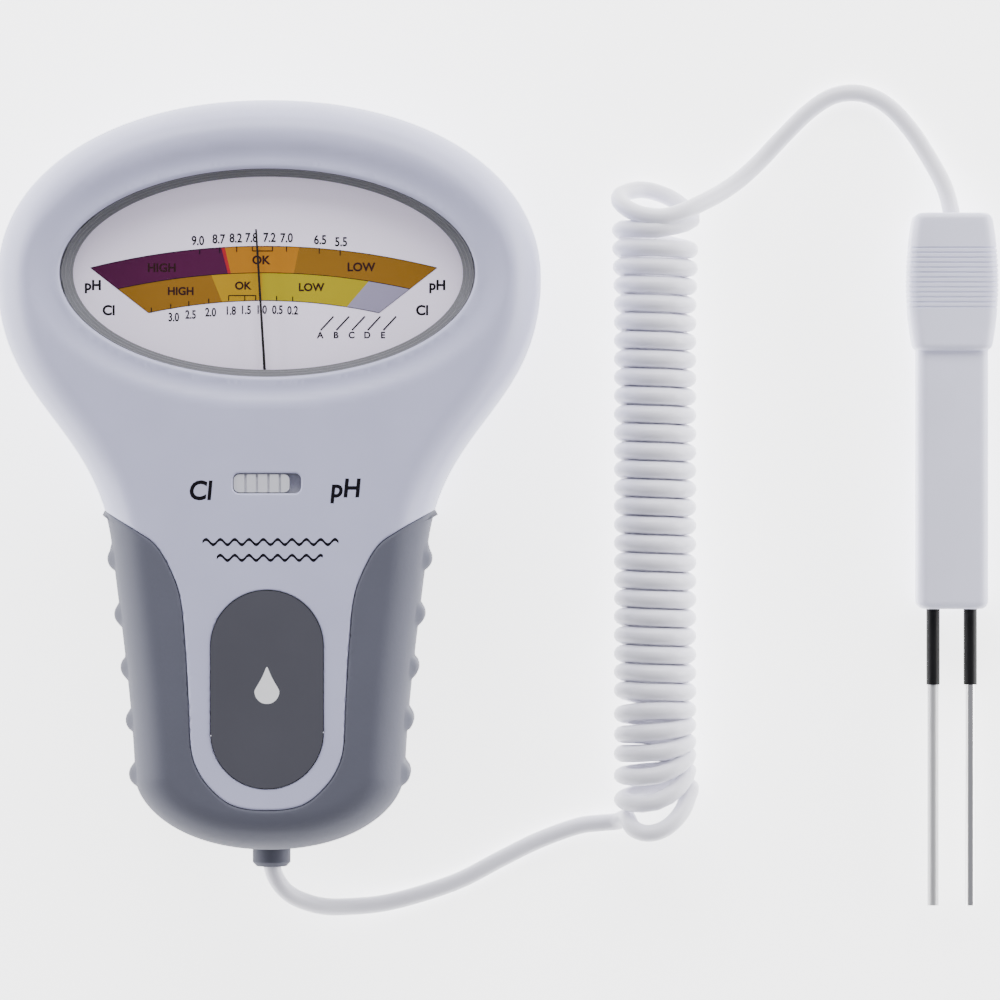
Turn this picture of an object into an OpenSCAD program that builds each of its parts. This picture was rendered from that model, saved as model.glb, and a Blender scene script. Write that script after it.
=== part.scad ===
// Handheld pool and spa water tester: a moving-coil meter in a two-part case with
// a soft grip, and a two-rod probe on a curly cord. Millimetres. The tester lies on
// its back: +Z leaves the dial, +Y points to the head, the flat back is at z = 0.

/* [Case] */
// Width across the head
head_w = 115; // [113:1:117]
// Depth from the back face to the front face
case_d = 38; // [38:1:41]
// Wall thickness of the two shells
wall = 2.5; // [2.2:0.1:2.8]
// Thickness of the soft grip
grip_t = 2; // [1.6:0.1:2.2]
// Height at which the two shells meet
parting_z = 14; // [13:0.5:15]

/* [Meter] */
// Full width of the window
window_w = 87.2; // [84:0.2:88]
// Full height of the window
window_h = 43.7; // [42:0.1:44]
// Length of the pointer from its pivot
pointer_l = 42; // [38:0.5:43]
// Angle of the pointer at rest, to the left of the middle
rest_a = 3.5; // [-5:0.5:5]

/* [Probe] */
// Width of the probe handle
stem_w = 15.2; // [14:0.1:16]
// Diameter of each electrode rod
rod_d = 2.4; // [2:0.1:2.5]
// Distance between the two rods
rod_pitch = 8; // [7:0.1:8.5]

/* [Cord] */
// Outer diameter of the cord
cord_d = 3.6; // [3:0.1:3.6]
// Outer diameter of the coiled length
coil_d = 17.4; // [16:0.1:17.4]

/* [Hidden] */
$fn = 48;
e = 0.01;

// Colours of the mouldings
shell_c = [0.82, 0.82, 0.87];
grip_c = [0.48, 0.49, 0.54];
cord_c = [0.90, 0.90, 0.92];

// Case outline: half of the head, shoulder, handle and tail, from the top clockwise
head_y = 41.5;
head_r = 37.8;
head_n = 2.12;
hw = head_w / 2;
shoulder = [[hw, head_y], [hw, 14.5], [35.9, 11], [33.2, -16]];
handle = [[33.2, -16], [31.8, -28], [28.9, -48], [28.4, -64]];
tail = [[28.4, -64], [28, -70], [19, -79.3], [0, -79.3]];
tail_y = -79.3;

function bez(p, t) = pow(1 - t, 3) * p[0] + 3 * pow(1 - t, 2) * t * p[1]
    + 3 * (1 - t) * t * t * p[2] + pow(t, 3) * p[3];
function head_pt(a) = [hw * pow(cos(a), 2 / head_n), head_y + head_r * pow(sin(a), 2 / head_n)];
right_side = concat([for (i = [0:9]) head_pt(90 - 9 * i)], [for (i = [0:7]) bez(shoulder, i / 8)],
    [for (i = [0:5]) bez(handle, i / 6)], [for (i = [0:5]) bez(tail, i / 5)]);
last = len(right_side) - 1;
// The whole outline, anticlockwise from the bottom
outline = concat([for (i = [last:-1:0]) right_side[i]],
    [for (i = [1:last - 1]) [-right_side[i][0], right_side[i][1]]]);
on = len(outline);

// A point of the outline moved inwards by d
function inward(i, d) = let(a = outline[(i + on - 1) % on], b = outline[(i + 1) % on],
    t = (b - a) / norm(b - a)) outline[i] + d * [-t[1], t[0]];

// Rounding of the back edge, and width and height of the rolled front edge
back_r = 6;
roll_w = 8;
roll_h = 13;
function back_edge(d) = [for (a = [0, 45, 90]) let(r = back_r - d)
    [d + r * (1 - sin(a)), d + r * (1 - cos(a))]];
function front_edge(d) = [for (a = [0:22.5:90])
    [d + (roll_w - d) * (1 - cos(a)), case_d - roll_h + (roll_h - d) * sin(a)]];

// Solid through the case outline at each [inset, height] of a profile
module loft(profile) {
    n = len(profile);
    polyhedron(
        points = [for (p = profile, i = [0:on - 1])
            [inward(i, p[0])[0], inward(i, p[0])[1], p[1]]],
        faces = concat([[for (i = [0:on - 1]) i]], [[for (i = [on - 1:-1:0]) (n - 1) * on + i]],
            [for (j = [0:n - 2], i = [0:on - 1], h = [0, 1]) let(k = (i + 1) % on)
                h == 0 ? [j * on + i, (j + 1) * on + i, (j + 1) * on + k]
                       : [j * on + i, (j + 1) * on + k, j * on + k]]),
        convexity = 6);
}
module back_loft(d, top) loft(concat(back_edge(d), [[d, top]]));
module front_loft(d, base) loft(concat([[d, base]], front_edge(d)));
module full_loft(d) loft(concat(back_edge(d), front_edge(d)));

// Right half of the edge between the pale tongue and the grip, from the side down
tongue = [[40, -4.4], [34, -7.9], [27.3, -11.8], [23, -15.1], [19.7, -21], [18, -26.6],
    [17.1, -35.8], [16.4, -47.9], [15.9, -57.5], [14.1, -62.7], [11.1, -66.5],
    [7.8, -69], [4.5, -70]];
tn = len(tongue);
module grip_area(gap) offset(delta = gap) polygon(concat(tongue,
    [for (i = [tn - 1:-1:0]) [-tongue[i][0], tongue[i][1]]], [[-40, -90], [40, -90]]));
// Side ribs of the grip: places along the handle curve, radius and height range
rib_t = [0.05, 0.32, 0.545, 0.76, 0.985];
rib_r = 2.6;
rib_out = 1.3;
rib_z = [9, 25];

// Fixing points
case_pts = [[30, 67], [44, 22], [11.5, -58]];
frame_pts = [[22, 68.5], [30, 17]];
board_pts = [[14.5, -12], [14.5, -41]];
module both(pts) for (p = pts, s = [-1, 1]) translate([s * p[0], p[1]]) children();

// Window, dial and movement
win_y = 42.4;
win_a = window_w / 2;
win_b = window_h / 2;
dish_a = 50.2;
dish_b = 26.9;
dish_h = 0.8;
lens_a = 45.6;
lens_b = 23.8;
lens_t = 1.5;
lip_z = case_d - 2;
ring_h = 2.1;
dial_z = case_d - 8;
dial_t = 0.8;
frame_z = dial_z - dial_t - 2;
pivot_y = 9.8;
core_r = 5.5;
gap_r = 8.4;
bridge_z = dial_z + 3;
low_z = frame_z - 18.2;
tip_r = 0.25;

// Upright elliptical solid, optionally with a sloping side
module oval(a1, a2, b_over_a, h) scale([1, b_over_a, 1]) cylinder(h = h, r1 = a1, r2 = a2, $fn = 96);
module pill(w, l) hull() for (s = [-1, 1]) translate([0, s * (l - w) / 2]) circle(d = w);
module box(x, y, z) translate([x[0], y[0], z[0]]) cube([x[1] - x[0], y[1] - y[0], z[1] - z[0]]);

// Selector slot
slot_w = 14.3;
slot_h = 4.2;
slot_y = -1.8;
knob_w = 11.7;
knob_x = -7;
knob_z = case_d - 0.4;

// Label panel
label_w = 23.5;
label_l = 41.5;
label_y = -45;
label_in = 0.8;

// Circuit board
board_z = dial_z - 0.7;
board_t = 1.6;
ceiling = case_d - wall;
trim_x = 9;
trim_y = -30;
trim_r = 2.3;

// Cord routes, from the clamp to the coil and from the coil to the probe
cord_z = 14;
cord_r = cord_d / 2;
lower_route = [[0, -65, 14], [0, -74, 14], [0, -84.2, 14], [1, -86.6, 13.5], [3, -89, 12.2],
    [6, -91, 10.2], [11, -92.6, 7.6], [17, -92.8, 5], [24, -92.2, 3], [32, -90.2, 2.1],
    [40.5, -87.2, 1.9], [48.5, -83, 1.9], [57, -78.8, 1.9], [65.5, -75.8, 2], [76, -74.2, 3.2]];
upper_route = [[82.5, 57.2, 13.4], [87, 57.4, 11.4], [91.6, 58.3, 9], [96.4, 61, 6.4],
    [100.8, 64.2, 4.2], [105, 68.1, 2.4], [109.4, 72.8, 1.9],
    [115.5, 79, 1.9], [121, 82, 1.9], [127, 82.4, 1.9], [132.5, 79.8, 1.9], [137.5, 74.4, 2.4],
    [141.5, 68, 3.6], [144.3, 62.5, 5], [145.7, 57.5, 6], [146, 54, 6.3], [146, 47, 6.3]];
coil_x = 82.2;
coil_y = [-77, 55];

// Tube of n sides swept along a route
module tube(route, r, n) {
    m = len(route);
    function along(i) = let(d = route[min(i + 1, m - 1)] - route[max(i - 1, 0)]) d / norm(d);
    function side(i) = let(c = cross(along(i), [0, 0, 1])) c / norm(c);
    polyhedron(
        points = [for (i = [0:m - 1], j = [0:n - 1]) let(s = side(i), u = cross(s, along(i)))
            route[i] + r * cos(360 * j / n) * s + r * sin(360 * j / n) * u],
        faces = concat([[for (j = [n - 1:-1:0]) j]], [[for (j = [0:n - 1]) (m - 1) * n + j]],
            [for (i = [0:m - 2], j = [0:n - 1], h = [0, 1]) let(k = (j + 1) % n)
                h == 0 ? [i * n + j, i * n + k, (i + 1) * n + k]
                       : [i * n + j, (i + 1) * n + k, (i + 1) * n + j]]));
}

// Probe
probe_x = 146;
cap_y = [26.7, 56.3];
cap_w = 19.4;
cap_end_w = 16.4;
cap_h = 12.6;
stem_h = 11;
stem_y = [-28.7, 26.7];
rod_z = 5.5;
rod_tip = -92.5;
sleeve_tip = -45;
cap_mid = (cap_y[0] + cap_y[1]) / 2;
cap_half = (cap_y[1] - cap_y[0]) / 2;
cap_sag = (cap_w - cap_end_w) / 2;
cap_arc = (cap_half * cap_half + cap_sag * cap_sag) / (2 * cap_sag);

// Cylinder along Y between two heights, and a rounded bar along Y
module rod_y(x, z, y, r) translate([x, y[1], z]) rotate([90, 0, 0]) cylinder(h = y[1] - y[0], r = r);
module round_rect(w, h, r) {
    translate([r - w / 2, 0]) square([w - 2 * r, h]);
    translate([-w / 2, r]) square([w, h - 2 * r]);
    for (x = [r - w / 2, w / 2 - r], z = [r, h - r]) translate([x, z]) circle(r = r);
}
module bar_y(w, h, r, y) translate([0, y[1], 0]) rotate([90, 0, 0])
    linear_extrude(y[1] - y[0]) round_rect(w, h, r);

// ---- Case ----

// Everything on one side of the parting plane, cut away from a shell
module far_side(up) translate([-80, -100, up ? parting_z : parting_z - 20]) cube([160, 200, 20]);

// Post that stands on the back wall and widens towards it
module post(r, base, top) hull() {
    translate([0, 0, base]) cylinder(h = 1, r = r + 0.3, $fn = 24);
    translate([0, 0, base]) cylinder(h = top - base, r = r, $fn = 24);
}

module rear_shell() color(shell_c) difference() {
    union() {
        difference() {
            union() {
                difference() {
                    back_loft(0, parting_z + 1);
                    translate([0, 0, -1]) linear_extrude(parting_z + 4) grip_area(0.15);
                }
                back_loft(grip_t + 0.05, parting_z + 2);
            }
            far_side(true);
            back_loft(wall + grip_t, parting_z + 3);
            difference() {
                back_loft(wall, parting_z + 4);
                box([-80, 80], [-100, -6], [-1, 30]);
            }
        }
        both(case_pts) post(3.5, 1, parting_z);
        both([[5.2, -69.5]]) post(2.3, 2.8, cord_z - 1.8);
        box([-5.2, 5.2], [-71.3, -67.7], [2.8, cord_z - 1.8]);
    }
    both(case_pts) {
        translate([0, 0, -1]) cylinder(h = 8, r = 2.9);
        cylinder(h = 20, r = 1.4);
    }
    rod_y(0, cord_z, [-85, -70], 3);
    for (s = [-1, 1]) translate([s * 5.2, -69.5, 4]) cylinder(h = 20, r = 0.95);
}

// Boss that hangs from the front wall and widens towards it
module boss(r, from_z, to_z) hull() {
    translate([0, 0, from_z]) cylinder(h = to_z - from_z, r = r, $fn = 24);
    translate([0, 0, to_z - 1]) cylinder(h = 1, r = r + 0.3, $fn = 24);
}

module front_shell() color(shell_c) difference() {
    union() {
        difference() {
            union() {
                difference() {
                    front_loft(0, parting_z - 1);
                    translate([0, 0, parting_z - 3]) linear_extrude(case_d) grip_area(0.15);
                }
                front_loft(grip_t + 0.05, parting_z - 2);
            }
            far_side(false);
            front_loft(wall + grip_t, parting_z - 3);
            difference() {
                front_loft(wall, parting_z - 4);
                box([-80, 80], [-100, -6], [-1, case_d + 9]);
            }
        }
        both(case_pts) boss(3.5, parting_z, case_d - 4);
        both(frame_pts) boss(2.5, dial_z - dial_t, case_d - 2);
        both(board_pts) boss(2.3, board_z + board_t, case_d - 3);
    }
    both(case_pts) cylinder(h = parting_z + 12, r = 1.25);
    both(frame_pts) cylinder(h = case_d - 4, r = 0.95);
    both(board_pts) cylinder(h = case_d - 4, r = 0.85);
    rod_y(0, cord_z, [-85, -70], 3);
    translate([0, win_y, 0]) {
        translate([0, 0, case_d - 9]) oval(win_a, win_a, win_b / win_a, 20);
        translate([0, 0, case_d - dish_h]) oval(win_a - 0.1, dish_a, dish_b / dish_a, dish_h + e);
        translate([0, 0, case_d - 9]) oval(lens_a + 0.2, lens_a + 0.2, lens_b / lens_a, 7);
    }
    translate([0, slot_y, case_d - 5]) linear_extrude(9)
        translate([0, -slot_h / 2]) round_rect(slot_w, slot_h, 1.3);
    translate([0, label_y, case_d - label_in]) linear_extrude(2) pill(label_w + 0.2, label_l + 0.2);
}

module grip_sleeve() color(grip_c) difference() {
    union() {
        intersection() {
            full_loft(0);
            translate([0, 0, -1]) linear_extrude(case_d + 2) grip_area(0);
        }
        for (t = rib_t, s = [-1, 1]) hull() for (z = rib_z)
            translate([s * (bez(handle, t)[0] - rib_r + rib_out), bez(handle, t)[1], z])
                sphere(r = rib_r, $fn = 20);
    }
    full_loft(grip_t);
    rod_y(0, cord_z, [-85, -70], 3);
}

module case_screws() color("silver") both(case_pts) difference() {
    union() {
        translate([0, 0, 4.6]) cylinder(h = 2.4, r = 2.7);
        translate([0, 0, 7]) cylinder(h = 17, r = 1.2);
    }
    for (a = [0, 90]) rotate(a) translate([-1.7, -0.4, 4]) cube([3.4, 0.8, 1.8]);
}

module window_lens() color([0.85, 0.9, 0.95, 0.3]) translate([0, win_y, lip_z - lens_t])
    oval(lens_a, lens_a, lens_b / lens_a, lens_t);

module window_ring() color([0.6, 0.6, 0.66]) translate([0, win_y, lip_z - lens_t - ring_h]) difference() {
    oval(lens_a, lens_a, lens_b / lens_a, ring_h);
    translate([0, 0, -e]) oval(41, 43.3, 20.3 / 41, ring_h + 2 * e);
}

module label_panel() color([0.35, 0.35, 0.39]) translate([0, label_y, case_d - label_in])
    linear_extrude(label_in + 0.2) pill(label_w, label_l);

module cord_gland() color(grip_c) translate([0, 0, cord_z]) rotate([90, 0, 0]) rotate_extrude()
    polygon([[1.85, 72.6], [4.2, 72.6], [4.2, 73.9], [2.9, 73.9], [2.9, 79.35], [4.05, 79.35],
        [4.05, 82.6], [3.2, 83.5], [1.85, 83.5]]);

module cord_clamp() color("dimgray") difference() {
    box([-7.5, 7.5], [-72, -67], [cord_z - 1.8, cord_z + 3.9]);
    rod_y(0, cord_z, [-73, -66], 1.85);
    box([-1.85, 1.85], [-73, -66], [cord_z - 3, cord_z]);
    for (s = [-1, 1]) translate([s * 5.2, -69.5, cord_z - 3]) cylinder(h = 20, r = 1.1);
}

module clamp_screws() color("silver") for (s = [-1, 1]) translate([s * 5.2, -69.5, 0]) {
    translate([0, 0, cord_z + 3.9]) cylinder(h = 1.6, r = 1.9);
    translate([0, 0, 5]) cylinder(h = cord_z - 1.1, r = 0.9);
}

// ---- Meter ----

module meter_frame() color([0.25, 0.25, 0.27]) difference() {
    union() {
        translate([0, win_y, frame_z]) oval(46, 46, 23.5 / 46, 2);
        box([-14, 14], [-8, 26], [frame_z, frame_z + 2]);
        for (s = [-1, 1]) {
            box([s * 22 - 4, s * 22 + 4], [58, 68.5], [frame_z, frame_z + 2]);
            box([s * 30 - 4, s * 30 + 4], [17, 28], [frame_z, frame_z + 2]);
        }
        translate([0, 0, frame_z]) both(frame_pts) cylinder(h = 2, r = 4);
    }
    translate([0, pivot_y, frame_z - 1]) cylinder(h = 4, r = 9);
    translate([0, 0, frame_z - 1]) both(frame_pts) cylinder(h = 4, r = 1.1);
    translate([0, 0, frame_z - 1]) for (s = [-1, 1]) translate([s * 10.7, 18.8, 0])
        cylinder(h = 4, r = 0.6);
}

module meter_screws() color("silver") both(frame_pts) {
    translate([0, 0, frame_z - 1.6]) cylinder(h = 1.6, r = 2);
    translate([0, 0, frame_z]) cylinder(h = 6, r = 0.9);
}

module dial_plate() color([0.95, 0.95, 0.97]) translate([0, win_y, dial_z - dial_t])
    oval(45.5, 45.5, 23 / 45.5, dial_t);

module pointer_stops() color("black") for (s = [-1, 1]) translate([s * 10.7, 18.8, frame_z])
    cylinder(h = 5.2, r = 0.58);

module pole_shoes() color([0.55, 0.56, 0.58]) difference() {
    for (s = [-1, 1]) box(s > 0 ? [2.5, 13.5] : [-13.5, -2.5], [-7.5, 18.5], [frame_z - 11, frame_z]);
    translate([0, pivot_y, frame_z - 12]) cylinder(h = 14, r = gap_r);
    box([-7, 7], [-8, -0.6], [frame_z - 12, frame_z + 1]);
}

module magnet() color([0.3, 0.3, 0.32]) box([-6.95, 6.95], [-7.5, -0.65], [frame_z - 10.9, frame_z - 0.1]);

module core() color([0.6, 0.6, 0.62]) translate([0, pivot_y, frame_z - 10.5]) cylinder(h = 10, r = core_r);

module core_bracket() color("goldenrod") difference() {
    box([-1.4, 1.4], [-0.65, 6], [frame_z - 7.5, frame_z - 3.5]);
    translate([0, pivot_y, frame_z - 12]) cylinder(h = 14, r = core_r + e);
}

module bridge(bar_z, foot_z) for (s = [-1, 1]) {
    box([-12, 12], [pivot_y - 2, pivot_y + 2], [bar_z, bar_z + 1.3]);
    box(s > 0 ? [10, 12] : [-12, -10], [pivot_y - 2, pivot_y + 2],
        [min(bar_z, foot_z), max(bar_z + 1.3, foot_z)]);
}

module upper_bridge() color("goldenrod") difference() {
    bridge(bridge_z, dial_z - dial_t);
    translate([0, pivot_y, bridge_z - 1]) cylinder(h = 4, r = 1.25);
}

module lower_bridge() color("goldenrod") difference() {
    bridge(low_z, frame_z - 11);
    translate([0, pivot_y, low_z - 1]) cylinder(h = 4, r = 1.25);
}

module jewel_screws() color("silver") translate([0, pivot_y, 0]) {
    difference() {
        translate([0, 0, bridge_z - 0.3]) cylinder(h = 2.2, r = 1.2);
        translate([0, 0, bridge_z - 1]) cylinder(h = 1.6, r = tip_r + 0.05);
        translate([-2, -0.2, bridge_z + 1.5]) cube([4, 0.4, 1]);
    }
    difference() {
        translate([0, 0, low_z - 0.6]) cylinder(h = 2.2, r = 1.2);
        translate([0, 0, low_z + 0.7]) cylinder(h = 1.6, r = tip_r + 0.05);
        translate([-2, -0.2, low_z - 1]) cube([4, 0.4, 1]);
    }
}

// Flat spiral of thin strip from radius 0.8 to radius 4.2
function spiral(a, w) = let(r = 0.8 + 3.4 * a / 1080 + w) [r * cos(a), r * sin(a)];
module hairspring() linear_extrude(0.6) polygon(concat([for (a = [0:20:1080]) spiral(a, -0.1)],
    [for (a = [1080:-20:0]) spiral(a, 0.1)]));

module hairspring_upper() color("gold") translate([0, pivot_y, dial_z - 0.8]) {
    hairspring();
    box([4.1, 4.5], [-0.3, 0.3], [0, 3.8]);
}
module hairspring_lower() color("gold") translate([0, pivot_y, low_z + 3.6]) {
    hairspring();
    box([4.1, 4.5], [-0.3, 0.3], [-2.3, 0.6]);
}

module swung() translate([0, pivot_y, 0]) rotate(rest_a) children();

module moving_coil() color([0.72, 0.4, 0.2]) swung() difference() {
    box([-7.6, 7.6], [-1.5, 1.5], [frame_z - 12.2, frame_z + 1.2]);
    box([-6.3, 6.3], [-2, 2], [frame_z - 11, frame_z]);
}

module pivot_staff() color("silver") swung() {
    translate([0, 0, frame_z + 1.2]) cylinder(h = bridge_z - frame_z - 1.7, r = 0.5);
    translate([0, 0, bridge_z - 0.5]) cylinder(h = 1, r = tip_r);
    translate([0, 0, low_z + 1.8]) cylinder(h = frame_z - 14 - low_z, r = 0.5);
    translate([0, 0, low_z + 0.8]) cylinder(h = 1, r = tip_r);
}

module pointer() color([0.15, 0.13, 0.15]) swung() translate([0, 0, dial_z + 1.4]) difference() {
    union() {
        translate([0, 0, -0.5]) cylinder(h = 1.4, r = 1.6);
        linear_extrude(0.4) polygon([[-0.5, -6], [0.5, -6], [0.5, 0], [0.3, 6], [0.2, pointer_l],
            [-0.2, pointer_l], [-0.3, 6], [-0.5, 0]]);
    }
    translate([0, 0, -1]) cylinder(h = 3, r = 0.5);
}

module balance_weight() color("silver") swung() translate([0, 0, dial_z + 1.6]) difference() {
    rod_y(0, 0, [-5.6, -3.4], 1);
    box([-0.5, 0.5], [-7, -2], [-0.2, 0.2]);
}

// ---- Circuit ----

module circuit_board() color([0.1, 0.4, 0.25]) difference() {
    box([-17, 17], [-46, 2.6], [board_z, board_z + board_t]);
    translate([0, 0, board_z - 1]) both(board_pts) cylinder(h = 4, r = 0.95);
}

module board_screws() color("silver") both(board_pts) {
    translate([0, 0, board_z - 1.3]) cylinder(h = 1.3, r = 1.8);
    translate([0, 0, board_z]) cylinder(h = 4.4, r = 0.8);
}

module switch_body() color([0.2, 0.2, 0.22]) difference() {
    box([-8.5, 8.5], [slot_y - 3.4, slot_y + 3.4], [board_z + board_t, ceiling - 1.2]);
    box([-5.5, 6.2], [slot_y - 1.6, slot_y + 1.6], [board_z + board_t + 1, ceiling + 1]);
}

module switch_slider() color("black")
    box([-4.2, 2.4], [slot_y - 1.5, slot_y + 1.5], [board_z + board_t + 1.2, ceiling - 1]);

// Thumb piece on a plate that closes the slot from inside
module selector_knob() color([0.87, 0.87, 0.9]) translate([knob_x, slot_y, ceiling - 1]) difference() {
    union() {
        linear_extrude(knob_z - ceiling + 1) translate([knob_w / 2, 0.2 - slot_h / 2])
            round_rect(knob_w, slot_h - 0.4, 1.2);
        box([-2.9, 14.7], [-2.9, 2.9], [0, 0.8]);
    }
    for (x = [2.5, 4.9, 7.3, 9.7]) box([x - 0.25, x + 0.25], [-3, 3], [2.7, 5]);
}

module trimmer_bodies() color("royalblue") for (s = [-1, 1]) translate([s * trim_x, trim_y, 0])
    difference() {
        box([-3.4, 3.4], [-3.4, 3.4], [board_z - 3.4, board_z]);
        translate([0, 0, board_z - 4]) cylinder(h = 1.8, r = trim_r + 0.05);
    }
module trimmer_rotor() color("white") difference() {
    translate([0, 0, board_z - 3.6]) cylinder(h = 1.3, r = trim_r);
    translate([-1.6, -0.3, board_z - 4]) cube([3.2, 0.6, 1]);
}
module trimmer_left() translate([-trim_x, trim_y, 0]) trimmer_rotor();
module trimmer_right() translate([trim_x, trim_y, 0]) trimmer_rotor();

module resistors() color("tan") for (y = [-17.5, -21, -38]) translate([0, y, board_z - 1.5]) {
    translate([-3, 0, 0]) rotate([0, 90, 0]) cylinder(h = 6, r = 1.1);
    for (x = [-4.2, 3]) translate([x, 0, 0]) rotate([0, 90, 0]) cylinder(h = 1.2, r = 0.3);
    for (x = [-4.2, 4.2]) translate([x, 0, 0]) cylinder(h = 1.5, r = 0.3);
}

module meter_leads() color("firebrick") {
    tube([[-16, -5, board_z - 0.5], [-16.2, -3, board_z - 4], [-16.4, 2, board_z - 10],
        [-15.6, 7, low_z + 4], [-12.6, pivot_y, low_z + 0.7]], 0.5, 6);
    tube([[15.4, -3, board_z + board_t + 0.5], [15.2, 2, board_z + board_t + 0.9],
        [14.6, 7, bridge_z - 1.4], [12.6, pivot_y, bridge_z - 1.6]], 0.5, 6);
}

module cord_cores() color("firebrick") for (s = [-1, 1]) tube([[s * 0.8, -64.9, cord_z],
    [s * 1.4, -60, 15.5], [s * 2.6, -54, 20], [s * 4, -48, 25], [s * 5, -43, board_z - 0.6]], 0.6, 6);

// ---- Cord ----

module cord_lower() color(cord_c) tube(lower_route, cord_r, 8);
module cord_coil() color(cord_c) rod_y(coil_x, coil_d / 2 + 0.05, coil_y, coil_d / 2);
module cord_upper() color(cord_c) tube(upper_route, cord_r, 8);

// ---- Probe ----

module probe_cap() color(shell_c) translate([probe_x, 0, 0]) difference() {
    intersection() {
        linear_extrude(cap_h) intersection() {
            translate([cap_w / 2 - cap_arc, cap_mid]) circle(r = cap_arc, $fn = 360);
            translate([cap_arc - cap_w / 2, cap_mid]) circle(r = cap_arc, $fn = 360);
            translate([-cap_w / 2, cap_y[0]]) square([cap_w, cap_y[1] - cap_y[0]]);
        }
        bar_y(cap_w, cap_h, 2.5, [cap_y[0], cap_y[1]]);
    }
    for (i = [0:12], z = [0, cap_h]) box([-cap_w / 2, cap_w / 2],
        [36 + 1.06 * i, 36.5 + 1.06 * i], [z - 0.4, z + 0.4]);
    translate([0, 0, 1.1]) bar_y(13.2, 8.8, 1.6, [cap_y[0] - 1, 38.2]);
    rod_y(0, 6.3, [37, 52], 3.2);
    rod_y(0, 6.3, [50, 60], 1.85);
}

module probe_stem() color(shell_c) translate([probe_x, 0, 0]) difference() {
    union() {
        intersection() {
            bar_y(stem_w, stem_h, 2.2, stem_y);
            linear_extrude(stem_h) translate([0, stem_y[0]])
                round_rect(stem_w, stem_y[1] - stem_y[0] + 10, 2);
        }
        translate([0, 0, 1.2]) bar_y(13, 8.6, 1.5, [stem_y[1] - 1, 38]);
    }
    translate([0, 0, 2.4]) bar_y(10.6, 6.2, 1, [stem_y[0] + 3.7, 39]);
    for (s = [-1, 1]) rod_y(s * rod_pitch / 2, rod_z, [stem_y[0] - 1, stem_y[0] + 5], 1.47);
}

module electrode_holder() color([0.3, 0.3, 0.32]) translate([probe_x, 0, 0]) difference() {
    translate([0, 0, 2.5]) bar_y(10.4, 6, 0.9, [-24.9, -14]);
    for (s = [-1, 1]) rod_y(s * rod_pitch / 2, rod_z, [-26, -13], rod_d / 2 + 0.02);
}

module probe_crimp() color("silver") difference() {
    rod_y(probe_x, 6.3, [48, 51.9], 3);
    rod_y(probe_x, 6.3, [47, 53], 1.85);
}

module sleeve(s) color([0.06, 0.06, 0.07]) difference() {
    rod_y(probe_x + s * rod_pitch / 2, rod_z, [sleeve_tip, -25], 1.45);
    rod_y(probe_x + s * rod_pitch / 2, rod_z, [sleeve_tip - 1, -24], rod_d / 2 + 0.02);
}
module sleeve_left() sleeve(-1);
module sleeve_right() sleeve(1);

module electrode(s) rod_y(probe_x + s * rod_pitch / 2, rod_z, [rod_tip, -12], rod_d / 2);
module electrode_left() color([0.62, 0.62, 0.63]) electrode(-1);
module electrode_right() color([0.85, 0.85, 0.87]) electrode(1);

module probe_wires() color("firebrick") for (s = [-1, 1]) tube([[probe_x + s * 0.8, 46.9, 6.3],
    [probe_x + s * 1.4, 40, 6.2], [probe_x + s * 2.8, 20, 5.8],
    [probe_x + s * rod_pitch / 2, 0, rod_z], [probe_x + s * rod_pitch / 2, -12, rod_z]], 0.6, 6);

rear_shell();
front_shell();
grip_sleeve();
case_screws();
window_lens();
window_ring();
label_panel();
cord_gland();
cord_clamp();
clamp_screws();
meter_frame();
meter_screws();
dial_plate();
pointer_stops();
pole_shoes();
magnet();
core();
core_bracket();
upper_bridge();
lower_bridge();
jewel_screws();
hairspring_upper();
hairspring_lower();
moving_coil();
pivot_staff();
pointer();
balance_weight();
circuit_board();
board_screws();
switch_body();
switch_slider();
selector_knob();
trimmer_bodies();
trimmer_left();
trimmer_right();
resistors();
meter_leads();
cord_cores();
cord_lower();
cord_coil();
cord_upper();
probe_cap();
probe_stem();
electrode_holder();
probe_crimp();
sleeve_left();
sleeve_right();
electrode_left();
electrode_right();
probe_wires();
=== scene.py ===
"""Pool and spa water tester, lying on its back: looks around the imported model. Metres."""

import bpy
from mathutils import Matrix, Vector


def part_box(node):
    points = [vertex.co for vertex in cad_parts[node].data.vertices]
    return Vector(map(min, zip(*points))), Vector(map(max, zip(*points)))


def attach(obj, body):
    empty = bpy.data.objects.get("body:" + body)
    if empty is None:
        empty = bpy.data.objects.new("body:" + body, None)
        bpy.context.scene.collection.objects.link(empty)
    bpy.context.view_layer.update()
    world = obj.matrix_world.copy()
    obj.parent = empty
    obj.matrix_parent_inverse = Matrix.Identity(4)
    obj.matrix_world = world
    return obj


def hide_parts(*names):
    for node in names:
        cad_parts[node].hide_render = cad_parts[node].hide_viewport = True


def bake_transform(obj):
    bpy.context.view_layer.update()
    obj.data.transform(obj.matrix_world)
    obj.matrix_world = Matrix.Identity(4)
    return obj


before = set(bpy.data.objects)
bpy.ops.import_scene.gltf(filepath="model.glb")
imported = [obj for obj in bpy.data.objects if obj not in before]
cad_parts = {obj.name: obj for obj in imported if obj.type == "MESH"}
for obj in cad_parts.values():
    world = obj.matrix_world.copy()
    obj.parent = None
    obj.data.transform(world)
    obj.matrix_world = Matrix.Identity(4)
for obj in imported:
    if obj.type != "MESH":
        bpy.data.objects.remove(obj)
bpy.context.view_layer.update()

import math

import bpy
import bmesh
import numpy as np
from mathutils import Vector
from mathutils.geometry import delaunay_2d_cdt

MM = 0.001


# ---------------------------------------------------------------- camera
CAMERA_AT = (0.0488, -0.0053, 1.2)
LENS, SENSOR = 199.8, 36.0


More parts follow.
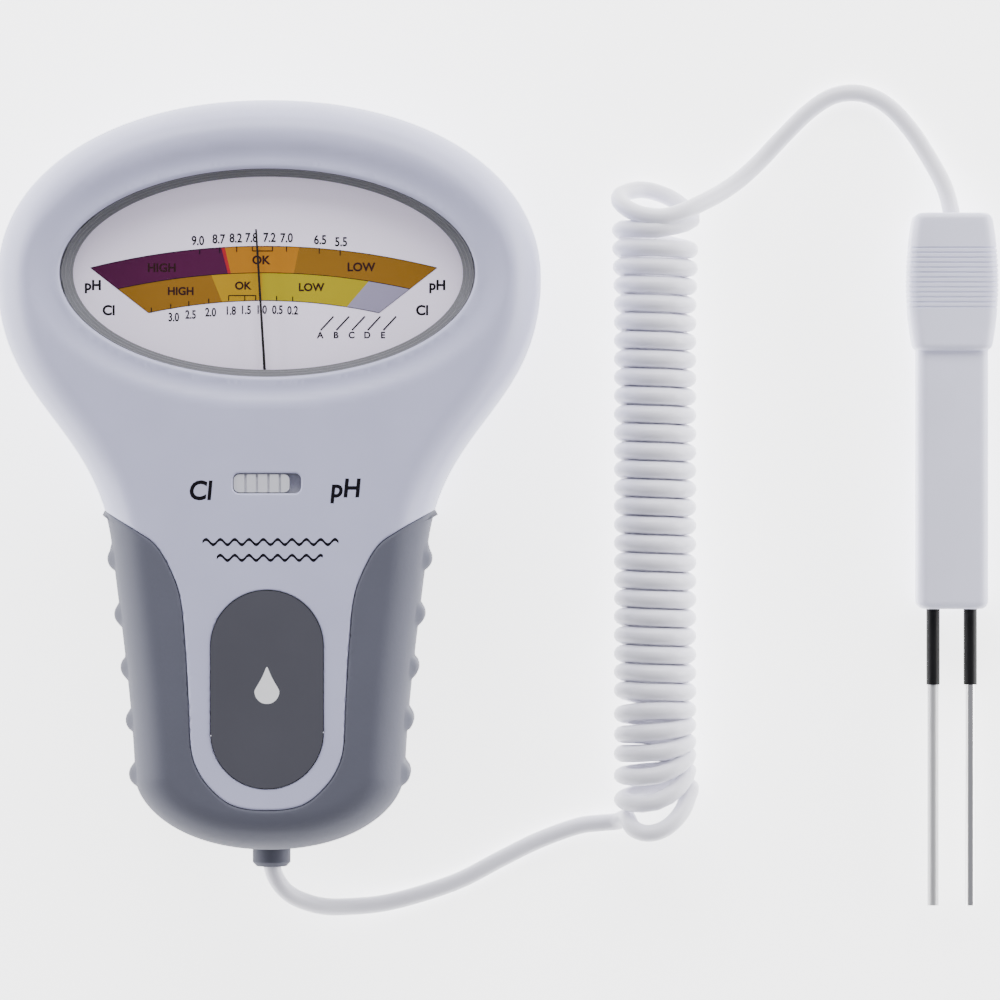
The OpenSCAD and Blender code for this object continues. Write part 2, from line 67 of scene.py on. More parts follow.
def make_camera():
    """Looks straight down from above."""
    cam = bpy.data.cameras.new("camera")
    cam.lens = LENS
    cam.sensor_width = SENSOR
    cam.clip_start = 0.05
    obj = bpy.data.objects.new("camera", cam)
    obj.location = CAMERA_AT
    bpy.context.scene.collection.objects.link(obj)
    bpy.context.scene.camera = obj


make_camera()


# ---------------------------------------------------------------- materials
MOTTLE_SCALE, ROUGH_SPREAD, GRAIN_DEPTH = 60.0, 0.04, 0.0001


def material(name, color, rough=0.5, metallic=0.0, grain=0.0, grain_scale=900.0, coat=0.0,
             spec=0.5, mottle=0.03, alpha=1.0, stretch=(1, 1, 1), painted_glow=0.0):
    """Principled material with a faint procedural mottle, an optional fine grain and an optional
    painted glow that stands in for light falling on it.
    """
    mat = bpy.data.materials.new(name)
    mat.use_nodes = True
    nodes, links = mat.node_tree.nodes, mat.node_tree.links
    nodes.clear()
    out = nodes.new("ShaderNodeOutputMaterial")
    bsdf = nodes.new("ShaderNodeBsdfPrincipled")
    links.new(bsdf.outputs[0], out.inputs[0])
    bsdf.inputs["Metallic"].default_value = metallic
    bsdf.inputs["Coat Weight"].default_value = coat
    bsdf.inputs["Coat Roughness"].default_value = 0.08
    bsdf.inputs["Specular IOR Level"].default_value = spec
    bsdf.inputs["Emission Color"].default_value = list(color) + [1]
    bsdf.inputs["Emission Strength"].default_value = painted_glow
    bsdf.inputs["Alpha"].default_value = alpha
    coords = nodes.new("ShaderNodeTexCoord")
    mapping = nodes.new("ShaderNodeMapping")
    mapping.inputs["Scale"].default_value = stretch
    links.new(coords.outputs["Object"], mapping.inputs["Vector"])
    noise = nodes.new("ShaderNodeTexNoise")
    noise.inputs["Scale"].default_value = MOTTLE_SCALE
    noise.inputs["Detail"].default_value = 3.0
    links.new(mapping.outputs[0], noise.inputs["Vector"])
    ramp = nodes.new("ShaderNodeValToRGB")
    for i, k in enumerate((1 - mottle, 1 + mottle)):
        ramp.color_ramp.elements[i].position = 0.3 + 0.4 * i
        ramp.color_ramp.elements[i].color = [min(1, c * k) for c in color] + [1]
    links.new(noise.outputs["Fac"], ramp.inputs[0])
    links.new(ramp.outputs[0], bsdf.inputs["Base Color"])
    rough_map = nodes.new("ShaderNodeMapRange")
    rough_map.inputs["To Min"].default_value = max(0.0, rough - ROUGH_SPREAD)
    rough_map.inputs["To Max"].default_value = rough + ROUGH_SPREAD
    links.new(noise.outputs["Fac"], rough_map.inputs["Value"])
    links.new(rough_map.outputs[0], bsdf.inputs["Roughness"])
    if grain:
        fine = nodes.new("ShaderNodeTexNoise")
        fine.inputs["Scale"].default_value = grain_scale
        links.new(mapping.outputs[0], fine.inputs["Vector"])
        bump = nodes.new("ShaderNodeBump")
        bump.inputs["Strength"].default_value = grain
        bump.inputs["Distance"].default_value = GRAIN_DEPTH
        links.new(fine.outputs["Fac"], bump.inputs["Height"])
        links.new(bump.outputs[0], bsdf.inputs["Normal"])
    return mat


M = {
    "case": material("case_plastic", (0.49, 0.495, 0.69), 0.42, grain=0.05, coat=0.1),
    "pale_case": material("probe_plastic", (0.80, 0.80, 0.97), 0.36, grain=0.05, coat=0.1),
    "grip": material("grip_rubber", (0.095, 0.098, 0.13), 0.62, grain=0.25, spec=0.25),
    "panel": material("panel_plate", (0.066, 0.066, 0.083), 0.45, grain=0.1, spec=0.35),
    "steel": material("plated_steel", (0.72, 0.72, 0.73), 0.28, 1.0),
    "lens": material("lens_clear", (0.03, 0.03, 0.035), 0.05, alpha=0.04, mottle=0.0),
    "ring": material("ring_grey", (0.20, 0.20, 0.22), 0.35),
    "black": material("black_plastic", (0.02, 0.02, 0.022), 0.45, grain=0.1),
    # The dial glows a little: painted light standing in for the light that reaches it down in its
    # recess.
    "dial": material("dial_white_painted_glow", (0.90, 0.82, 1.0), 0.55, mottle=0.01, painted_glow=0.35),
    "iron": material("soft_iron", (0.42, 0.42, 0.43), 0.42, 1.0, grain=0.3),
    "magnet": material("magnet_alloy", (0.20, 0.20, 0.21), 0.5, 0.9, grain=0.4),
    "brass": material("brass", (0.78, 0.60, 0.28), 0.3, 1.0),
    "spring": material("bronze_strip", (0.80, 0.58, 0.34), 0.3, 1.0),
    "copper": material("copper_winding", (0.62, 0.27, 0.13), 0.35, 0.9, stretch=(1, 1, 40)),
    "pointer": material("pointer_paint", (0.012, 0.01, 0.012), 0.5, spec=0.2),
    "board": material("board_green", (0.05, 0.22, 0.10), 0.4, coat=0.3),
    "knob": material("knob_pale", (0.60, 0.60, 0.66), 0.3, coat=0.3),
    "slide": material("slide_grey", (0.26, 0.26, 0.28), 0.4),
    "blue": material("trimmer_blue", (0.04, 0.14, 0.50), 0.4),
    "resistor": material("resistor_body", (0.62, 0.48, 0.30), 0.4, coat=0.3),
    "wire": material("wire_red", (0.50, 0.05, 0.04), 0.45),
    "cord": material("cord_jacket", (0.90, 0.89, 0.98), 0.36, grain=0.04, coat=0.1),
    "sleeve": material("sleeve_black", (0.004, 0.004, 0.005), 0.45, grain=0.1, spec=0.25),
    "zinc": material("rod_dull", (0.60, 0.60, 0.61), 0.5, 0.8, grain=0.35, grain_scale=2500),
    "rod": material("rod_polished", (0.93, 0.93, 0.93), 0.2, 1.0, stretch=(1, 0.02, 1)),
    "ink": material("ink_dark", (0.004, 0.003, 0.006), 0.6, spec=0.1),
    "white_ink": material("ink_white", (0.85, 0.85, 0.88), 0.5),
}
LOOK = {
    "rear_shell": "case", "front_shell": "case", "grip_sleeve": "grip", "case_screws": "steel",
    "window_lens": "lens", "window_ring": "ring", "label_panel": "panel", "cord_gland": "grip",
    "cord_clamp": "black", "clamp_screws": "steel", "meter_frame": "black",
    "meter_screws": "steel", "dial_plate": "dial", "pointer_stops": "black",
    "pole_shoes": "iron", "magnet": "magnet", "core": "iron", "core_bracket": "brass",
    "upper_bridge": "brass", "lower_bridge": "brass", "jewel_screws": "brass",
    "hairspring_upper": "spring", "hairspring_lower": "spring", "moving_coil": "copper",
    "pivot_staff": "steel", "pointer": "pointer", "balance_weight": "steel",
    "circuit_board": "board", "board_screws": "steel", "switch_body": "slide",
    "switch_slider": "slide", "selector_knob": "knob", "trimmer_bodies": "blue",
    "trimmer_left": "knob", "trimmer_right": "knob", "resistors": "resistor",
    "meter_leads": "wire", "cord_cores": "wire", "cord_lower": "cord", "cord_coil": "cord",
    "cord_upper": "cord", "probe_cap": "pale_case", "probe_stem": "pale_case",
    "electrode_holder": "black", "probe_crimp": "steel", "sleeve_left": "sleeve",
    "sleeve_right": "sleeve", "electrode_left": "zinc", "electrode_right": "rod",
    "probe_wires": "wire",
}
for name, look in LOOK.items():
    obj = bpy.data.objects[name]
    obj.data.materials.clear()
    obj.data.materials.append(M[look])


def add_mesh(name, verts, faces, look, body, smooth_angle=35.0):
    """New piece from points in millimetres, smooth-shaded below an edge angle."""
    mesh = bpy.data.meshes.new(name)
    mesh.from_pydata([tuple(c * MM for c in v) for v in verts], [], faces)
    mesh.validate()
    bm = bmesh.new()
    bm.from_mesh(mesh)
    bmesh.ops.remove_doubles(bm, verts=bm.verts, dist=1e-7)
    bmesh.ops.recalc_face_normals(bm, faces=bm.faces)
    bm.to_mesh(mesh)
    bm.free()
    for poly in mesh.polygons:
        poly.use_smooth = True
    mesh.set_sharp_from_angle(angle=math.radians(smooth_angle))
    mesh.materials.append(M[look])
    obj = bpy.data.objects.new(name, mesh)
    bpy.context.scene.collection.objects.link(obj)
    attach(obj, body)
    return obj


# ---------------------------------------------------------------- cord
COIL_X, COIL_Z, COIL_R = 82.1, 8.75, 6.9
CORD_D, CORD_SIDES = 3.7, 12
# From the gland over the table to the foot of the coil and up round its loose end
LOWER = [(0, -65, 14), (0, -74, 14), (0, -82, 14), (0.3, -84.4, 14), (1.2, -86.6, 13.5),
         (3, -89, 12.2), (6, -91, 10.2), (11, -92.6, 7.6), (17, -92.8, 5), (24, -92.2, 3),
         (32, -90.2, 2.1), (40.5, -87.2, 1.9), (48.5, -83, 1.9), (57, -78.8, 1.9),
         (65.5, -75.7, 1.9), (70.5, -75.0, 2.0), (74.0, -74.6, 3.2), (75.8, -73.6, 6.6),
         (76.3, -73.8, 10.6), (77.2, -75.4, 13.6), (79.6, -76.4, 15.3), (82.4, -76.1, 15.8),
         (85.2, -74.6, 15.3), (87.6, -72.0, 13.6), (89.0, -69.0, 11.2)]
# From the right-hand end of the last pass, round behind, over the loose loop and away
UPPER = [(89.9, 54.8, 9.2), (87.0, 58.8, 3.9), (83.0, 60.9, 2.5), (78.9, 61.6, 3.4),
         (75.0, 60.4, 7.2), (74.6, 58.4, 11.2), (77.2, 56.3, 14.4), (80.6, 55.3, 15.6),
         (84.3, 55.2, 15.7), (88.1, 56.4, 14.6), (91.6, 58.1, 12.2), (96.3, 60.7, 8.2),
         (100.7, 63.9, 4.8), (105, 67.9, 2.6), (109.4, 72.6, 1.9), (115.5, 78.6, 1.9),
         (121, 82, 1.9), (127, 82.4, 1.9), (132.5, 79.8, 1.9), (137.5, 74.4, 2.4),
         (141.5, 68, 3.6), (144.3, 62.5, 5), (145.7, 57.5, 6), (146, 54, 6.3), (146, 47, 6.3)]
# Heights of the opened-out lower end, four to a turn: top, right, under, left
OPEN_QUARTERS = [-75.0, -66.6, -67.8, -69.6, -69.8, -63.4, -63.7, -64.4, -64.1, -60.0, -59.9,
                 -59.7, -59.2, -57.2, -56.3, -55.6, -54.8, -53.6, -52.5, -51.2, -50.2]
PITCH, TURNS, LEAN = 3.95, 31, 1.15
# Extra half width in X, growing by LOOSE over three turns near the top
WIDE, LOOSE = 0.15, 0.4
PER_QUARTER = 4


def catmull(points, per):
    """Points on a smooth curve through the given ones."""
    pts = [np.array(p, float) for p in points]
    pts = [2 * pts[0] - pts[1]] + pts + [2 * pts[-1] - pts[-2]]
    out = []
    for i in range(1, len(pts) - 2):
        p0, p1, p2, p3 = pts[i - 1:i + 3]
        for k in range(per):
            t = k / per
            out.append(0.5 * (2 * p1 + (p2 - p0) * t + (2 * p0 - 5 * p1 + 4 * p2 - p3) * t * t
                              + (3 * p1 - p0 - 3 * p2 + p3) * t ** 3))
    out.append(pts[-2])
    return out


def coil_points():
    """The coil from its first top pass to its last, sixteen points to a turn."""
    quarters = list(OPEN_QUARTERS)
    for q in range(len(quarters), 4 * TURNS + 1):
        quarters.append(OPEN_QUARTERS[-1] + PITCH * (q - len(OPEN_QUARTERS) + 1) / 4
                        - LEAN * math.sin(math.pi * q / 2))
    heights = catmull([(q / 4, y, 0) for q, y in enumerate(quarters)], PER_QUARTER)
    out = []
    for t, y, _ in heights:
        a = math.radians(90 - 360 * t)
        wide = WIDE + LOOSE * max(0.0, min(1.0, (t - TURNS + 4) / 3))
        out.append(np.array((COIL_X + (COIL_R + wide) * math.cos(a), y,
                             COIL_Z + COIL_R * math.sin(a))))
    return out[PER_QUARTER:]


def cord_path():
    """Lead, coil and lead as one line; the leads take their end directions from the coil."""
    coil, n = coil_points(), PER_QUARTER
    lead_in = catmull(LOWER + [tuple(coil[0]), tuple(coil[n])], n)[:-n - 1]
    lead_out = catmull([tuple(coil[-n - 1]), tuple(coil[-1])] + UPPER, n)[n + 1:]
    return lead_in + coil + lead_out


def sweep(path, radius, sides):
    """Tube along a path, carried without twist from ring to ring."""
    verts, faces = [], []
    normal = np.array((1.0, 0.0, 0.0))
    for i, p in enumerate(path):
        d = path[min(i + 1, len(path) - 1)] - path[max(i - 1, 0)]
        d = d / np.linalg.norm(d)
        normal = normal - d * normal.dot(d)
        normal /= np.linalg.norm(normal)
        side = np.cross(d, normal)
        for k in range(sides):
            a = 2 * math.pi * k / sides
            verts.append(p + radius * (math.cos(a) * normal + math.sin(a) * side))
        if i:
            a0, b0 = (i - 1) * sides, i * sides
            faces += [(a0 + k, a0 + (k + 1) % sides, b0 + (k + 1) % sides, b0 + k)
                      for k in range(sides)]
    faces.append(tuple(range(sides))[::-1])
    faces.append(tuple((len(path) - 1) * sides + k for k in range(sides)))
    return verts, faces


def build_cord():
    path = cord_path()
    verts, faces = sweep(path, CORD_D / 2, CORD_SIDES)
    mesh = bpy.data.meshes.new("curly_cord")
    mesh.from_pydata([tuple(v * MM) for v in verts], [], faces)
    for poly in mesh.polygons:
        poly.use_smooth = True
    mesh.materials.append(M["cord"])
    curly = bpy.data.objects.new("curly_cord", mesh)
    bpy.context.scene.collection.objects.link(curly)
    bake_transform(curly)
    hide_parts("cord_lower", "cord_coil", "cord_upper")


build_cord()


# ---------------------------------------------------------------- case shapes
# Half width, centre, half height and exponent of the head's superellipse
HW, HEAD_Y, HEAD_R, HEAD_N = 57.5, 41.5, 37.8, 2.12
SHOULDER = [(HW, HEAD_Y), (HW, 14.5), (35.9, 11), (33.2, -16)]
HANDLE = [(33.2, -16), (31.8, -28), (28.9, -48), (28.4, -64)]
TAIL = [(28.4, -64), (28, -70), (19, -79.3), (0, -79.3)]
TONGUE = [(40, -4.4), (34, -7.9), (27.3, -11.8), (23, -15.1), (19.7, -21), (18, -26.6),
          (17.1, -35.8), (16.4, -47.9), (15.9, -57.5), (14.1, -62.7), (11.1, -66.5),
          (7.8, -69), (4.2, -70.05), (0, -70.3)]
CASE_D, ROLL_W, ROLL_H, BACK_R, PARTING = 38.0, 8.0, 13.0, 6.0, 14.0
# Places of the grip's ribs as shares of the HANDLE curve
RIBS = [0.05, 0.32, 0.545, 0.76, 0.985]
RIB = dict(half_l=2.35, flat_h=8.2, end_h=3.2, z=17.0, swell=1.35, min_x=20)
BORE_R = 2.9
SHELL_T, GRIP_T = 1.4, 1.2
WIN = dict(y=42.4, a=43.6, b=21.85)
DISH = dict(a=50.6, b=27.6, h=1.5)
SLOT = dict(w=14.3, h=4.2, y=-1.8, r=1.3)
LABEL = dict(w=23.7, l=41.7, y=-45.0)
SCREWS = [(s * x, y) for x, y in ((30, 67), (44, 22), (11.5, -58)) for s in (-1, 1)]


def bezier(p, t):
    """Point at share t of a cubic Bezier curve."""
    p = np.array(p, float)
    return ((1 - t) ** 3 * p[0] + 3 * (1 - t) ** 2 * t * p[1] + 3 * (1 - t) * t * t * p[2]
            + t ** 3 * p[3])


def case_outline():
    """Anticlockwise from the bottom."""
    right = []
    for i in range(56):
        a = math.radians(90 - 90 * i / 56)
        right.append(np.array((HW * max(math.cos(a), 0) ** (2 / HEAD_N),
                               HEAD_Y + HEAD_R * math.sin(a) ** (2 / HEAD_N))))
    for curve, n in ((SHOULDER, 48), (HANDLE, 72), (TAIL, 30)):
        right += [bezier(curve, i / n) for i in range(n)]
    right.append(np.array((0.0, -79.3)))
    right = right[::-1]
    left = [np.array((-p[0], p[1])) for p in right[1:-1]][::-1]
    return np.array(right + left)


OUTLINE = case_outline()
TANGENT = np.roll(OUTLINE, -1, 0) - np.roll(OUTLINE, 1, 0)
TANGENT /= np.linalg.norm(TANGENT, axis=1)[:, None]
INWARD = np.stack((-TANGENT[:, 1], TANGENT[:, 0]), 1)
tongue_line = np.array([p[:2] for p in catmull(
    [(x, y, 0) for x, y in TONGUE] + [(-x, y, 0) for x, y in TONGUE[-2::-1]], 8)])
tongue_area = np.array([(60, -4.4)] + [tuple(p) for p in tongue_line] + [(-60, -4.4),
                       (-60, 100), (60, 100)])


def ellipse(cx, cy, a, b, n):
    """Closed outline of n points, anticlockwise."""
    turns = [2 * math.pi * i / n for i in range(n)]
    return np.array([(cx + a * math.cos(t), cy + b * math.sin(t)) for t in turns])


def round_rect(cx, cy, w, h, r, n=6):
    """Closed outline of a rectangle with round corners, anticlockwise."""
    out = []
    for k, (sx, sy) in enumerate(((1, 1), (-1, 1), (-1, -1), (1, -1))):
        for i in range(n + 1):
            a = math.radians(90 * k + 90 * i / n)
            out.append((cx + sx * (w / 2 - r) + r * math.cos(a),
                        cy + sy * (h / 2 - r) + r * math.sin(a)))
    return np.array(out)


def refine(loop, step):
    """Closed loop with no edge much longer than step."""
    out = []
    for a, b in zip(loop, np.roll(loop, -1, 0)):
        n = max(1, int(np.ceil(np.linalg.norm(b - a) / step)))
        out += [a + (b - a) * k / n for k in range(n)]
    return np.array(out)


def distance(points, line, closed=True):
    """Distance of each point from a line of segments."""
    a = line if closed else line[:-1]
    b = np.roll(line, -1, 0) if closed else line[1:]
    out = np.full(len(points), 1e9)
    for s in range(0, len(points), 4000):
        p = points[s:s + 4000, None, :]
        d = b - a
        t = np.clip(((p - a) * d).sum(2) / np.maximum((d * d).sum(1), 1e-12), 0, 1)
        q = a + t[..., None] * d
        out[s:s + 4000] = np.sqrt(((p - q) ** 2).sum(2)).min(1)
    return out


def inside(points, loop):
    """Even-odd test."""
    x, y = points[:, 0], points[:, 1]
    out = np.zeros(len(points), bool)
    for (x0, y0), (x1, y1) in zip(loop, np.roll(loop, -1, 0)):
        if y0 == y1:
            continue
        hit = ((y0 > y) != (y1 > y)) & (x < (x1 - x0) * (y - y0) / (y1 - y0) + x0)
        out ^= hit
    return out


def edge_round(d, r):
    """Drop of a rounded edge at distance d from it."""
    e = np.clip(r - d, 0, r)
    return r - np.sqrt(np.maximum(r * r - e * e, 0))


def roll_front(d):
    """Height of the front's rolled edge at distance d from the outline."""
    e = np.clip(1 - d / ROLL_W, 0, 1)
    return CASE_D - ROLL_H + ROLL_H * np.sqrt(1 - e * e)


def roll_back(d):
    """Height of the back's rounded edge at distance d from the outline."""
    e = np.clip(1 - d / BACK_R, 0, 1)
    return BACK_R - BACK_R * np.sqrt(1 - e * e)


TONGUE_ROWS = (0.1, 0.22, 0.36, 0.5, 0.7, 1.0)
HOLE_ROWS = (0.1, 0.22, 0.36, 0.55, 0.9)
LINE_GAP, OUTLINE_GAP, MERGE = 0.07, 0.015, 0.09


def plate(holes, roll_w, grid):
    """Triangles over the whole outline, with lines along the tongue's edge and the holes."""
    loops = [OUTLINE] + [refine(h, 0.8) for h in holes]
    pts, edges = [], []
    for loop in loops:
        s = len(pts)
        pts += list(loop)
        edges += [(s + i, s + (i + 1) % len(loop)) for i in range(len(loop))]
    s = len(pts)
    pts += list(tongue_line)
    edges += [(s + i, s + i + 1) for i in range(len(tongue_line) - 1)]
    free = []
    for a in np.arange(6, 91, 6.0):
        d = roll_w * (1 - math.cos(math.radians(a)))
        step = 1 if a < 45 else 2
        free += list((OUTLINE + d * INWARD)[::step])
    xs = np.arange(-57, 57.1, grid)
    ys = np.arange(-79, 79.1, grid * 0.87)
    field = np.array([(x + (grid / 2 if j % 2 else 0), y) for j, y in enumerate(ys) for x in xs])
    field = field[inside(field, OUTLINE)]
    free += list(field[distance(field, OUTLINE) > roll_w + grid * 0.6])
    along = np.gradient(tongue_line, axis=0)
    along /= np.linalg.norm(along, axis=1)[:, None]
    across = np.stack((-along[:, 1], along[:, 0]), 1)
    for off in TONGUE_ROWS:
        free += list(tongue_line + off * across) + list(tongue_line - off * across)
    for loop in loops[1:]:
        t = np.roll(loop, -1, 0) - np.roll(loop, 1, 0)
        t /= np.linalg.norm(t, axis=1)[:, None]
        n = np.stack((t[:, 1], -t[:, 0]), 1)
        for off in HOLE_ROWS:
            free += list(loop + off * n)
    free = np.array(free)
    ok = inside(free, OUTLINE) & (distance(free, OUTLINE) > OUTLINE_GAP)
    ok &= distance(free, tongue_line, closed=False) > LINE_GAP
    for loop in loops[1:]:
        ok &= ~inside(free, loop) & (distance(free, loop) > LINE_GAP)
    free = free[ok]
    order = np.lexsort((np.round(free[:, 1] / MERGE), np.round(free[:, 0] / MERGE)))
    free = free[order]
    cell = np.round(free / MERGE)
    first = np.ones(len(free), bool)
    first[1:] = (cell[1:] != cell[:-1]).any(1)
    free = free[first]
    every = [Vector((float(x), float(y))) for x, y in pts + list(free)]
    verts, _, tris, *_ = delaunay_2d_cdt(every, edges, [], 0, 1e-5)
    verts = np.array([(v[0], v[1]) for v in verts])
    tris = np.array([t for t in tris if len(t) == 3])
    mid = verts[tris].mean(1)
    ok = inside(mid, OUTLINE)
    for loop in loops[1:]:
        ok &= ~inside(mid, loop)
    tris, mid = tris[ok], mid[ok]
    return verts, tris, inside(mid, tongue_area), loops


def border_edges(tris):
    """Edges used once, in the order of their triangle."""
    seen = {}
    for t in tris:
        for a, b in ((t[0], t[1]), (t[1], t[2]), (t[2], t[0])):
            seen[(a, b)] = True
    return [(a, b) for a, b in seen if (b, a) not in seen]


class Skin:
    """Vertices and faces gathered from one side of a plate and the walls round it."""

    def __init__(self):
        self.verts, self.faces = [], []

    def add_plate(self, xy, z, tris, flip):
        s = len(self.verts)
        used = np.unique(tris)
        back = {int(u): s + i for i, u in enumerate(used)}
        self.verts += [(xy[u][0], xy[u][1], z[u]) for u in used]
        for t in tris:
            f = tuple(back[int(i)] for i in t)
            self.faces.append(f[::-1] if flip else f)
        return back

    def add_wall(self, edges, back, rows):
        """Wall hung from border edges; each row is a function from a plate point to its own."""
        rings = [dict(back)]
        ends = sorted({int(i) for e in edges for i in e})
        for row in rows:
            ring = {}
            for i in ends:
                x, y, z = self.verts[back[i]]
                ring[i] = len(self.verts)
                self.verts.append(row(i, x, y, z))
            rings.append(ring)
        for a, b in zip(rings, rings[1:]):
            for i, j in edges:
                self.faces.append((a[int(j)], a[int(i)], b[int(i)], b[int(j)]))


def on_line(xy, line, closed=True):
    """Which points are points of the line."""
    return distance(xy, line, closed) < 2e-3


def nearest_inward(xy):
    """Inward normal of the outline at the nearest of its points."""
    out = np.zeros((len(xy), 2))
    for s in range(0, len(xy), 4000):
        d = ((xy[s:s + 4000, None, :] - OUTLINE[None]) ** 2).sum(2)
        out[s:s + 4000] = INWARD[d.argmin(1)]
    return out


def thicken(obj, t):
    """Gives a skin its wall, inwards."""
    mod = obj.modifiers.new("wall", "SOLIDIFY")
    mod.thickness = t * MM
    mod.offset = -1


def rib_swell(x, y, z):
    """Outward swell of the grip's side ribs."""
    out = 0.0
    for t in RIBS:
        cy = bezier(HANDLE, t)[1]
        u = (y - cy) / RIB["half_l"]
        if abs(u) < 1:
            zz = max(0.0, abs(z - RIB["z"]) - RIB["flat_h"]) / RIB["end_h"]
            if zz < 1:
                out += RIB["swell"] * (1 - u * u) ** 0.75 * math.sqrt(max(0.0, 1 - zz * zz))
    return out


class Side:
    """Flat mesh of the case's front or back, with each point's distance from its lines."""

    def __init__(self, holes, roll_w, grid):
        self.xy, self.tris, self.is_shell, self.loops = plate(holes, roll_w, grid)
        self.on_outline = on_line(self.xy, OUTLINE)
        self.on_tongue = on_line(self.xy, tongue_line, False)
        self.from_outline = distance(self.xy, OUTLINE)
        self.from_outline[self.on_outline] = 0
        self.from_tongue = distance(self.xy, tongue_line, closed=False)
        self.inward = nearest_inward(self.xy)

    def rim(self, edges):
        return [e for e in edges if self.on_outline[e[0]] and self.on_outline[e[1]]]

    def inner(self, edges):
        return [e for e in edges if not (self.on_outline[e[0]] and self.on_outline[e[1]])]

    def tongue(self, edges):
        return [e for e in self.inner(edges) if self.on_tongue[e[0]] and self.on_tongue[e[1]]]

    def holes(self, edges):
        return [e for e in self.inner(edges)
                if not (self.on_tongue[e[0]] and self.on_tongue[e[1]])]

    def rim_rows(self, rows):
        """Wall rows at given (height, inset)."""
        n = self.inward
        return [lambda i, x, y, _, h=h, d=d: (x + d * n[i][0], y + d * n[i][1], h)
                for h, d in rows]


def level_row(height):
    return lambda i, x, y, z: (x, y, height)


def step_row(dz):
    return lambda i, x, y, z: (x, y, z + dz)


def turned(edges):
    return [e[::-1] for e in edges]


def build_front(side):
    """Case front: rolled edge, dished window, raised crest, switch slot and label recess."""
    window, slot, label = FRONT_HOLES
    xy = side.xy
    q = np.sqrt((xy[:, 0] / DISH["a"]) ** 2 + ((xy[:, 1] - WIN["y"]) / DISH["b"]) ** 2)
    t = np.clip((1 - q) / (1 - WIN["a"] / DISH["a"]), 0, 1.3)
    dish = DISH["h"] * (1 - (1 - np.minimum(t, 1)) ** 1.7)
    from_window = distance(xy, window)
    z = roll_front(side.from_outline) - dish
    z = z - edge_round(side.from_tongue, 0.5) - edge_round(from_window, 0.5)
    z += 0.22 * np.exp(-((from_window - 0.9) / 0.45) ** 2) * (q < 1)
    z -= edge_round(distance(xy, slot), 0.4) + edge_round(distance(xy, label), 0.3)
    skin, tris = Skin(), side.tris[side.is_shell]
    back = skin.add_plate(xy, z, tris, False)
    edges = border_edges(tris)
    skin.add_wall(side.rim(edges), back, side.rim_rows(
        ((22, 0), (19, 0), (16, 0), (14.5, 0), (14.2, 0.12), (14.02, 0.4))))
    skin.add_wall(side.tongue(edges), back, [step_row(-1.6)])
    for loop, depth in zip(side.loops[1:], (36.0, 35.5, 37.2)):
        near = on_line(xy, loop)
        ring = [e for e in side.holes(edges) if near[e[0]] and near[e[1]]]
        skin.add_wall(ring, back, [level_row(depth)])
    obj = add_mesh("front_case", skin.verts, skin.faces, "case", "housing", 40)
    thicken(obj, SHELL_T)
    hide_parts("front_shell")


def build_rear(side):
    """Case back: rounded edge and screw bores."""
    z = roll_back(side.from_outline) + edge_round(side.from_tongue, 0.5)
    for loop in side.loops[1:]:
        z += edge_round(distance(side.xy, loop), 0.35)
    skin, tris = Skin(), side.tris[side.is_shell]
    back = skin.add_plate(side.xy, z, tris, True)
    edges = border_edges(tris)
    skin.add_wall(turned(side.rim(edges)), back, side.rim_rows(
        ((9, 0), (12, 0), (13.5, 0), (13.8, 0.12), (13.98, 0.4))))
    skin.add_wall(turned(side.tongue(edges)), back, [step_row(1.6)])
    skin.add_wall(turned(side.holes(edges)), back, [level_row(7.0)])
    obj = add_mesh("rear_case", skin.verts, skin.faces, "case", "housing", 40)
    thicken(obj, SHELL_T)
    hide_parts("rear_shell")


def build_grip(front, rear):
    """Rubber sleeve round the handle with ribs along its sides."""
    skin, tris = Skin(), front.tris[~front.is_shell]
    z = roll_front(front.from_outline) - edge_round(front.from_tongue, 0.7)
    back = skin.add_plate(front.xy, z, tris, False)
    edges = border_edges(tris)
    heights = list(np.linspace(24, 7, 18)) + [6.0]
    skin.add_wall(front.rim(edges), back, [level_row(h) for h in heights])
    skin.add_wall(front.inner(edges), back, [step_row(-1.4)])
    tris = rear.tris[~rear.is_shell]
    z = roll_back(rear.from_outline) + edge_round(rear.from_tongue, 0.7)
    back = skin.add_plate(rear.xy, z, tris, True)
    skin.add_wall(turned(rear.inner(border_edges(tris))), back, [step_row(1.4)])
    inward = nearest_inward(np.array([v[:2] for v in skin.verts]))
    swollen = []
    for (x, y, z), n in zip(skin.verts, inward):
        k = rib_swell(x, y, z) if abs(x) > RIB["min_x"] else 0.0
        swollen.append((x - k * n[0], y - k * n[1], z))
    obj = add_mesh("grip_skin", swollen, skin.faces, "grip", "housing", 40)
    thicken(obj, GRIP_T)
    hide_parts("grip_sleeve")


FRONT_HOLES = [
    ellipse(0, WIN["y"], WIN["a"], WIN["b"], 220),
    round_rect(0, SLOT["y"], SLOT["w"], SLOT["h"], SLOT["r"]),
    round_rect(0, LABEL["y"], LABEL["w"], LABEL["l"], LABEL["w"] / 2 - 0.01, 24),
]
front_side = Side(FRONT_HOLES, ROLL_W, 1.4)
build_front(front_side)
rear_side = Side([ellipse(x, y, BORE_R, BORE_R, 40) for x, y in SCREWS], BACK_R, 2.2)
build_rear(rear_side)
build_grip(front_side, rear_side)


RING_POINTS = 180


